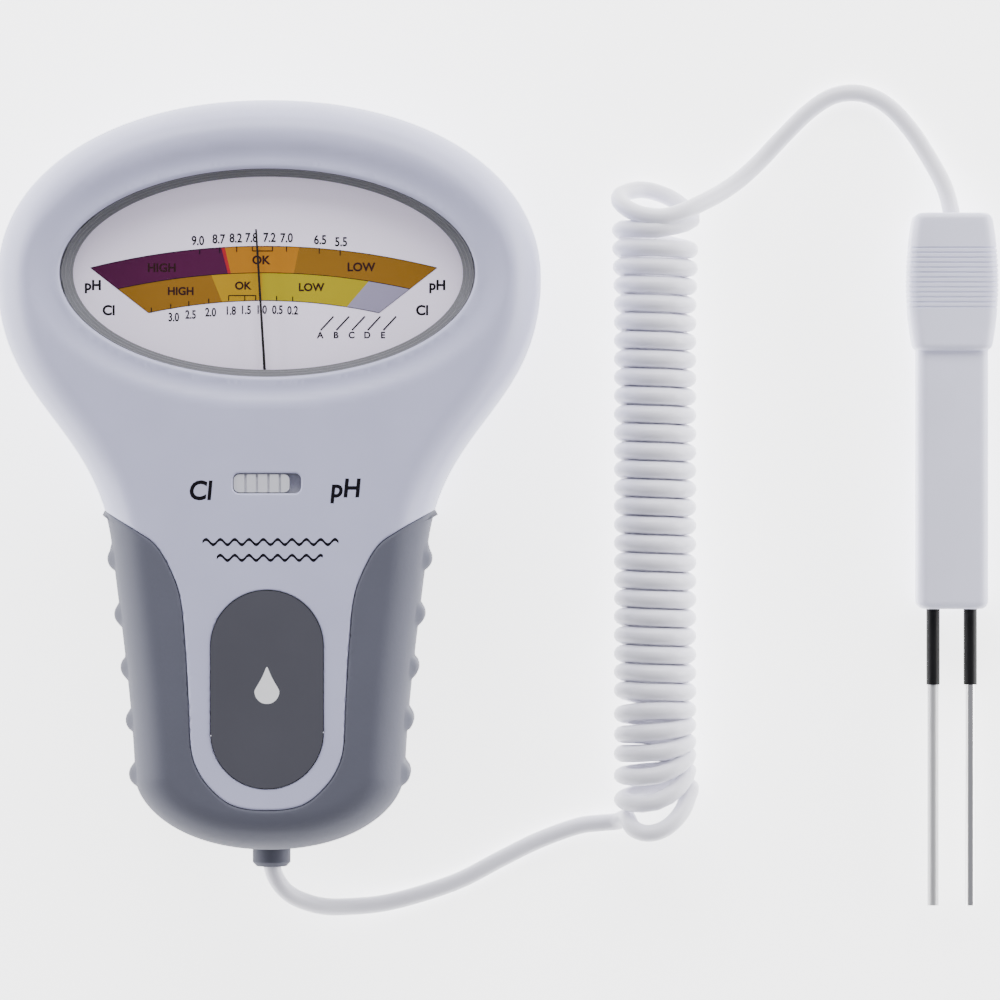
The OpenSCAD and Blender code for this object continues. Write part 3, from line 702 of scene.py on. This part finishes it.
def build_ring():
    """Stepped ring under the window; its profile holds (share of the way out, height)."""
    low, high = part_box("window_ring")[0].z / MM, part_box("window_ring")[1].z / MM
    profile = [(0.0, low), (0.0, low + 0.5), (0.22, low + 0.6), (0.26, low + 1.0), (0.5, low + 1.1),
               (0.54, low + 1.5), (0.76, low + 1.6), (0.8, high), (1.0, high), (1.0, low)]
    n, verts, faces = RING_POINTS, [], []
    for share, z in profile:
        for x, y in ellipse(0, WIN["y"], 41 + 2.8 * share, 20.3 + 1.8 * share, n):
            verts.append((x, y, z))
    for i in range(len(profile)):
        j = (i + 1) % len(profile)
        faces += [(i * n + k, i * n + (k + 1) % n, j * n + (k + 1) % n, j * n + k)
                  for k in range(n)]
    obj = add_mesh("window_steps", verts, faces, "ring", "housing", 30)
    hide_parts("window_ring")


build_ring()


def soften(node, width, angle=35.0, segments=3):
    """Rounds the edges of a CAD piece for the look of it."""
    obj = bpy.data.objects[node]
    mod = obj.modifiers.new("edge", "BEVEL")
    mod.width = width * MM
    mod.segments = segments
    mod.limit_method = "ANGLE"
    mod.angle_limit = math.radians(angle)


soften("selector_knob", 0.3)
soften("label_panel", 0.25)


# ---------------------------------------------------------------- probe shapes
PROBE_X = 146.0
CAP = dict(y0=26.7, y1=56.3, w=19.4, end_w=16.4, h=12.6)
STEM = dict(y0=-28.7, y1=26.7, w=15.2, h=11.0)


def loft_y(name, stations, look, replaces_node):
    """Closed body from sections at places along Y: (y, width, height, radius, lowest z)."""
    verts, faces, n = [], [], 0
    for y, w, h, r, z0 in stations:
        ring = round_rect(0, z0 + h / 2, w, h, r)
        n = len(ring)
        verts += [(PROBE_X + x, y, z) for x, z in ring]
    for i in range(len(stations) - 1):
        for k in range(n):
            j = (k + 1) % n
            faces.append((i * n + k, i * n + j, (i + 1) * n + j, (i + 1) * n + k))
    faces.append(tuple(range(n)))
    faces.append(tuple((len(stations) - 1) * n + k for k in range(n))[::-1])
    obj = add_mesh(name, verts, faces, look, "probe", 32)
    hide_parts(replaces_node)


def quarter(r, degrees=range(0, 91, 15)):
    """Places along a quarter circle of radius r, closest together at its start."""
    return [r * (1 - math.cos(math.radians(a))) for a in degrees]


# Grip grooves across the cap: first place along Y, pitch, count, depth
GROOVE = dict(y=35.9, pitch=1.06, count=13, depth=0.3)
CAP_EDGE, STEM_EDGE = 1.4, 1.8


def cap_stations():
    """Cap with bowed sides, rounded ends and grip grooves."""
    half = (CAP["y1"] - CAP["y0"]) / 2
    mid = (CAP["y1"] + CAP["y0"]) / 2
    first, pitch, count = GROOVE["y"], GROOVE["pitch"], GROOVE["count"]
    places = [-half + d for d in quarter(CAP_EDGE)]
    places += list(np.arange(-half + 1.8, first - mid - 0.2, 0.8))
    for i in range(count):
        u = first + i * pitch - mid
        places += [u - 0.14, u, u + 0.22, u + 0.36]
    places += list(np.arange(first + count * pitch - mid + 0.3, half - 1.8, 0.8))
    places += [half - d for d in quarter(CAP_EDGE, range(90, -1, -15))]
    out = []
    for u in sorted(places):
        y = mid + u
        width = CAP["end_w"] + (CAP["w"] - CAP["end_w"]) * (1 - (u / half) ** 2)
        e = max(0.0, abs(u) - (half - CAP_EDGE)) / CAP_EDGE
        drop = CAP_EDGE * (1 - math.sqrt(max(0.0, 1 - e * e)))
        grooved = any(-0.02 < y - (first + i * pitch) < 0.24 for i in range(count))
        groove = GROOVE["depth"] if grooved else 0.0
        height = CAP["h"] - 2 * drop - 2 * groove
        out.append((y, width - 2 * drop - groove, height, 2.6 - 0.6 * drop, drop + groove))
    return out


def stem_stations():
    """Stem with its lower end rounded, run a little way into the cap."""
    out = []
    for a in range(0, 91, 15):
        d = STEM_EDGE * (1 - math.sin(math.radians(a)))
        y = STEM["y0"] + STEM_EDGE * (1 - math.cos(math.radians(a)))
        out.append((y, STEM["w"] - 2 * d * 0.9, STEM["h"] - 1.1 * d, 2.2, 0.55 * d))
    out.append((STEM["y1"] + 0.4, STEM["w"], STEM["h"], 2.2, 0.0))
    return out


loft_y("cap_body", cap_stations(), "pale_case", "probe_cap")
loft_y("stem_body", stem_stations(), "pale_case", "probe_stem")


# ---------------------------------------------------------------- print on the dial and face
DIAL_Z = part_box("dial_plate")[1][2] / MM
LABEL_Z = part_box("label_panel")[1][2] / MM
FACE_Z = CASE_D
# Heights of the ink over what it is printed on: colours, words, lines; and on the face
INK, WORD_LIFT, LINE_INK, TICK_INK, FACE_INK = 0.03, 0.02, 0.05, 0.06, 0.02


def patch(name, outline, look, z, thick):
    """Printed patch inside a closed outline."""
    verts = [(x, y, z + thick) for x, y in outline]
    add_mesh(name, verts, [tuple(range(len(verts)))], look, "housing")


def strip(name, rows, look, z, thick):
    """Printed strip between a top and a bottom row of points."""
    n = len(rows[0])
    verts = [(x, y, z + thick) for row in rows for x, y in row]
    faces = [(i, n + i, n + i + 1, i + 1) for i in range(n - 1)]
    add_mesh(name, verts, faces, look, "housing")


def text(name, body_text, x, y, z, size, look, width=1.0, shear=0.0, thick=INK, bold=0.0):
    """Lettering in the built-in face, turned into a mesh centred on (x, y)."""
    curve = bpy.data.curves.new(name + "_curve", "FONT")
    curve.body = body_text
    curve.size = size * MM
    curve.align_x, curve.align_y = "CENTER", "CENTER"
    curve.extrude = thick * MM / 2
    curve.offset = bold * MM
    curve.shear = shear
    curve.resolution_u = 4
    tmp = bpy.data.objects.new(name + "_tmp", curve)
    bpy.context.scene.collection.objects.link(tmp)
    bpy.context.view_layer.update()
    graph = bpy.context.evaluated_depsgraph_get()
    mesh = bpy.data.meshes.new_from_object(tmp.evaluated_get(graph))
    bpy.data.objects.remove(tmp)
    bpy.data.curves.remove(curve)
    for v in mesh.vertices:
        v.co = (v.co.x * width + x * MM, v.co.y + y * MM, v.co.z + (z + thick / 2) * MM)
    mesh.materials.clear()
    mesh.materials.append(M[look])
    mesh.name = name
    obj = bpy.data.objects.new(name, mesh)
    bpy.context.scene.collection.objects.link(obj)
    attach(obj, "housing")


DIAL_X = -1.0
# Arcs that bound the dial's colour bands: height in the middle, sag at the ends, half width
ARCS = {"a": (48.2, 4.55, 36.5), "b": (42.6, 3.4, 30.8), "c": (36.75, 2.6, 24.3)}


def arc_y(arc, x):
    """Height of an arc at distance x from the dial's middle."""
    y, sag, half = ARCS[arc]
    return y - sag * (x / half) ** 2


def band(name, top, bottom, f0, f1, look):
    """Piece of a colour band between two arcs, from share f0 to share f1 of their half widths."""
    n = 24
    rows = ([], [])
    for i in range(n + 1):
        f = f0 + (f1 - f0) * i / n
        for row, arc in zip(rows, (top, bottom)):
            x = f * ARCS[arc][2]
            row.append((DIAL_X + x, arc_y(arc, x)))
    strip(name, rows, look, DIAL_Z, INK)


PRINT = {
    "plum": ("print_plum", (0.03, 0.008, 0.01)),
    "purple": ("band_purple", (0.085, 0.008, 0.055)),
    "red": ("band_red", (0.45, 0.02, 0.03)),
    "orange": ("band_orange", (0.50, 0.20, 0.012)),
    "amber": ("band_amber", (0.30, 0.14, 0.012)),
    "gold": ("band_gold", (0.50, 0.29, 0.012)),
    "yellow": ("band_yellow", (0.48, 0.38, 0.012)),
    "pale": ("band_pale", (0.36, 0.33, 0.48)),
}
for look, (name, color) in PRINT.items():
    M[look] = material(name, color, 0.6, spec=0.1)


def tick(name, x0, y0, x1, y1, half=0.1):
    """Straight printed line on the dial."""
    d = np.array((x1 - x0, y1 - y0))
    n = np.array((-d[1], d[0])) / np.linalg.norm(d) * half
    rows = ([(x0 + n[0], y0 + n[1]), (x1 + n[0], y1 + n[1])],
            [(x0 - n[0], y0 - n[1]), (x1 - n[0], y1 - n[1])])
    strip(name, rows, "ink", DIAL_Z, TICK_INK)


def band_edges():
    """Dark lines round the colour bands."""
    n = 48
    for arc, label in (("a", "top"), ("b", "mid"), ("c", "low")):
        rows = ([], [])
        for i in range(n + 1):
            x = ARCS[arc][2] * (2 * i / n - 1)
            y = arc_y(arc, x)
            rows[0].append((DIAL_X + x, y + 0.07))
            rows[1].append((DIAL_X + x, y - 0.07))
        strip("band_edge_" + label, rows, "ink", DIAL_Z, LINE_INK)
    for side in (-1, 1):
        for k, (p, q) in enumerate((("a", "b"), ("b", "c"))):
            rows = []
            for arc in (p, q):
                x = side * ARCS[arc][2]
                rows.append([(DIAL_X + x + dx, arc_y(arc, x)) for dx in (-0.08, 0.08)])
            strip("band_end_%s_%d" % ("lr"[side > 0], k), rows, "ink", DIAL_Z, LINE_INK)


def ph_scale():
    """Numbers, ticks and bracket above the bands."""
    numbers = [("9.0", -14.9), ("8.7", -10.5), ("8.2", -6.9), ("7.8", -3.6), ("7.2", 0.2),
               ("7.0", 3.8), ("6.5", 10.9), ("5.5", 15.3)]
    for i, (s, x) in enumerate(numbers):
        y = arc_y("a", x - DIAL_X) + 1.75
        text("ph_%d" % i, s, x, y, DIAL_Z, 2.7, "ink", width=0.82, bold=0.06)
    for i, x in enumerate((-14.5, -10.3, -6.7, 3.8, 10.7, 15.1)):
        y = arc_y("a", x - DIAL_X)
        tick("ph_tick_%d" % i, x, y - 1.1, x, y + 0.1)
    y = arc_y("a", -1.3 - DIAL_X)
    for i, x in enumerate((-3.4, 0.85)):
        tick("ph_bracket_%d" % i, x, y - 1.0, x, y)
    tick("ph_bracket_2", -3.4, y - 1.0, 0.85, y - 1.0)


def cl_scale():
    """Numbers, ticks and bracket below the bands."""
    numbers = [("3.0", -20.0), ("2.5", -16.4), ("2.0", -12.2), ("1.8", -8.0), ("1.5", -4.8),
               ("1.0", -1.5), ("0.5", 1.9), ("0.2", 5.1)]
    for i, (s, x) in enumerate(numbers):
        y = arc_y("c", x - DIAL_X) - 2.0
        text("cl_%d" % i, s, x, y, DIAL_Z, 2.5, "ink", width=0.76, bold=0.06)
    for i, x in enumerate((-24.7, -20.6, -16.8, -12.6, -5.0, -1.7, 1.7, 5.1)):
        y = arc_y("c", x - DIAL_X)
        tick("cl_tick_%d" % i, x, y - 0.1, x, y + 1.0)
    y = arc_y("c", -4.0 - DIAL_X)
    for i, x in enumerate((-8.4, -2.7)):
        tick("cl_bracket_%d" % i, x, y, x, y + 1.1)
    tick("cl_bracket_2", -8.4, y + 1.1, -2.7, y + 1.1)


def dial_words():
    """Words on the bands, names beside them and the lettered marks at the lower right."""
    for i, (s, x) in enumerate((("HIGH", -22.5), ("OK", -1.6), ("LOW", 19.5))):
        y = (arc_y("a", x - DIAL_X) + arc_y("b", x - DIAL_X)) / 2 - 0.2
        text("ph_word_%d" % i, s, x, y, DIAL_Z + WORD_LIFT, 2.5, "plum", bold=0.07)
    for i, (s, x) in enumerate((("HIGH", -18.5), ("OK", -5.4), ("LOW", 9.0))):
        y = (arc_y("b", x - DIAL_X) + arc_y("c", x - DIAL_X)) / 2 + 0.2
        text("cl_word_%d" % i, s, x, y, DIAL_Z + WORD_LIFT, 2.3, "plum", bold=0.07)
    for i, x in enumerate((-37.0, 35.6)):
        text("ph_name_%d" % i, "pH", x, 39.9, DIAL_Z, 2.9, "ink", bold=0.1)
        text("cl_name_%d" % i, "Cl", x * 0.91, 34.6, DIAL_Z, 2.9, "ink", bold=0.1)
    for i, letter in enumerate("ABCDE"):
        x = 12.2 + 3.3 * i
        tick("mark_%d" % i, x - 1.2, 30.5, x + 1.5, 33.4, 0.16)
        text("mark_name_%d" % i, letter, x - 1.3, 29.4, DIAL_Z, 1.9, "ink", bold=0.06)


def print_dial():
    band("ph_high", "a", "b", -1.0, -0.245, "purple")
    band("ph_line", "a", "b", -0.245, -0.225, "red")
    band("ph_ok", "a", "b", -0.225, 0.205, "orange")
    band("ph_low", "a", "b", 0.205, 1.0, "amber")
    band("cl_high", "b", "c", -1.0, -0.36, "amber")
    band("cl_ok", "b", "c", -0.36, -0.01, "gold")
    band("cl_low", "b", "c", -0.01, 0.72, "yellow")
    band("cl_none", "b", "c", 0.72, 1.0, "pale")
    band_edges()
    ph_scale()
    cl_scale()
    dial_words()


WAVE = dict(half=0.32, height=0.55, length=3.0, step=0.15)


def wave(name, x0, x1, y):
    """Printed wavy line on the face."""
    n = int((x1 - x0) / WAVE["step"])
    rows = ([], [])
    for i in range(n + 1):
        x = x0 + (x1 - x0) * i / n
        yy = y + WAVE["height"] * math.sin(2 * math.pi * (x - x0) / WAVE["length"])
        rows[0].append((x, yy + WAVE["half"]))
        rows[1].append((x, yy - WAVE["half"]))
    strip(name, rows, "ink", FACE_Z, FACE_INK)


def drop_outline(cx, cy, r, tip, n=40):
    """Water drop: round below, pointed above."""
    out = []
    for i in range(n):
        a = math.radians(-90 + 360 * i / n)
        x, y = r * math.cos(a), r * math.sin(a)
        if y > 0:
            k = (y / r) ** 1.6
            x *= (1 - 0.72 * k)
            y = y * (1 + (tip / r - 1) * k)
        out.append((cx + x, cy + y))
    return out


print_dial()
wave("face_wave_0", -13.5, 15.0, -14.1)
wave("face_wave_1", -10.5, 11.7, -17.4)
mode_style = dict(width=0.95, shear=0.1, thick=FACE_INK, bold=0.14)
text("mode_cl", "Cl", -14.0, -3.5, FACE_Z, 5.6, "ink", **mode_style)
text("mode_ph", "pH", 16.4, -3.0, FACE_Z, 5.4, "ink", **mode_style)
patch("label_drop", drop_outline(0, -45.4, 2.6, 5.2), "white_ink", LABEL_Z, FACE_INK)


# ---------------------------------------------------------------- floor, light, world
FLOOR_HALF, FLOOR_Z, FLOOR_GLOW = 3, -1e-4, 3.2
LIGHT_TARGET = (0.05, 0, 0)


def make_floor():
    """Pale floor that glows, a hair under the object so that the two never coincide."""
    corners = [(FLOOR_HALF * x, FLOOR_HALF * y, FLOOR_Z)
               for x, y in ((-1, -1), (1, -1), (1, 1), (-1, 1))]
    mesh = bpy.data.meshes.new("floor")
    mesh.from_pydata(corners, [], [(0, 1, 2, 3)])
    mat = material("floor_white", (0.92, 0.92, 0.93), 0.8, mottle=0.0, spec=0.1)
    bsdf = mat.node_tree.nodes["Principled BSDF"]
    bsdf.inputs["Emission Color"].default_value = (1, 1, 1, 1)
    bsdf.inputs["Emission Strength"].default_value = FLOOR_GLOW
    mesh.materials.append(mat)
    obj = bpy.data.objects.new("floor", mesh)
    bpy.context.scene.collection.objects.link(obj)


def area(name, location, size, power):
    """Soft rectangular light aimed at the object's middle."""
    light = bpy.data.lights.new(name, "AREA")
    light.shape = "RECTANGLE"
    light.size, light.size_y = size
    light.energy = power
    obj = bpy.data.objects.new(name, light)
    obj.location = location
    aim = Vector(LIGHT_TARGET) - Vector(location)
    obj.rotation_euler = aim.to_track_quat("-Z", "Y").to_euler()
    bpy.context.scene.collection.objects.link(obj)


def make_world():
    """Sky that is white at the horizon and dims towards the zenith."""
    world = bpy.data.worlds.new("studio")
    bpy.context.scene.world = world
    world.use_nodes = True
    nodes, links = world.node_tree.nodes, world.node_tree.links
    background = nodes["Background"]
    coords = nodes.new("ShaderNodeTexCoord")
    split = nodes.new("ShaderNodeSeparateXYZ")
    links.new(coords.outputs["Generated"], split.inputs[0])
    ramp = nodes.new("ShaderNodeValToRGB")
    horizon, zenith = ramp.color_ramp.elements
    horizon.position, zenith.position = 0.0, 0.9
    horizon.color = (1.0, 1.0, 1.0, 1)
    zenith.color = (0.27, 0.27, 0.30, 1)
    links.new(split.outputs["Z"], ramp.inputs[0])
    links.new(ramp.outputs[0], background.inputs["Color"])
    background.inputs["Strength"].default_value = 1.1


make_floor()
area("key_left", (-0.9, 0.1, 0.22), (0.9, 0.42), 9)
area("key_right", (1.0, 0.1, 0.22), (0.9, 0.42), 9)
area("top_back", (0.05, 0.9, 0.6), (1.2, 0.5), 14)
make_world()
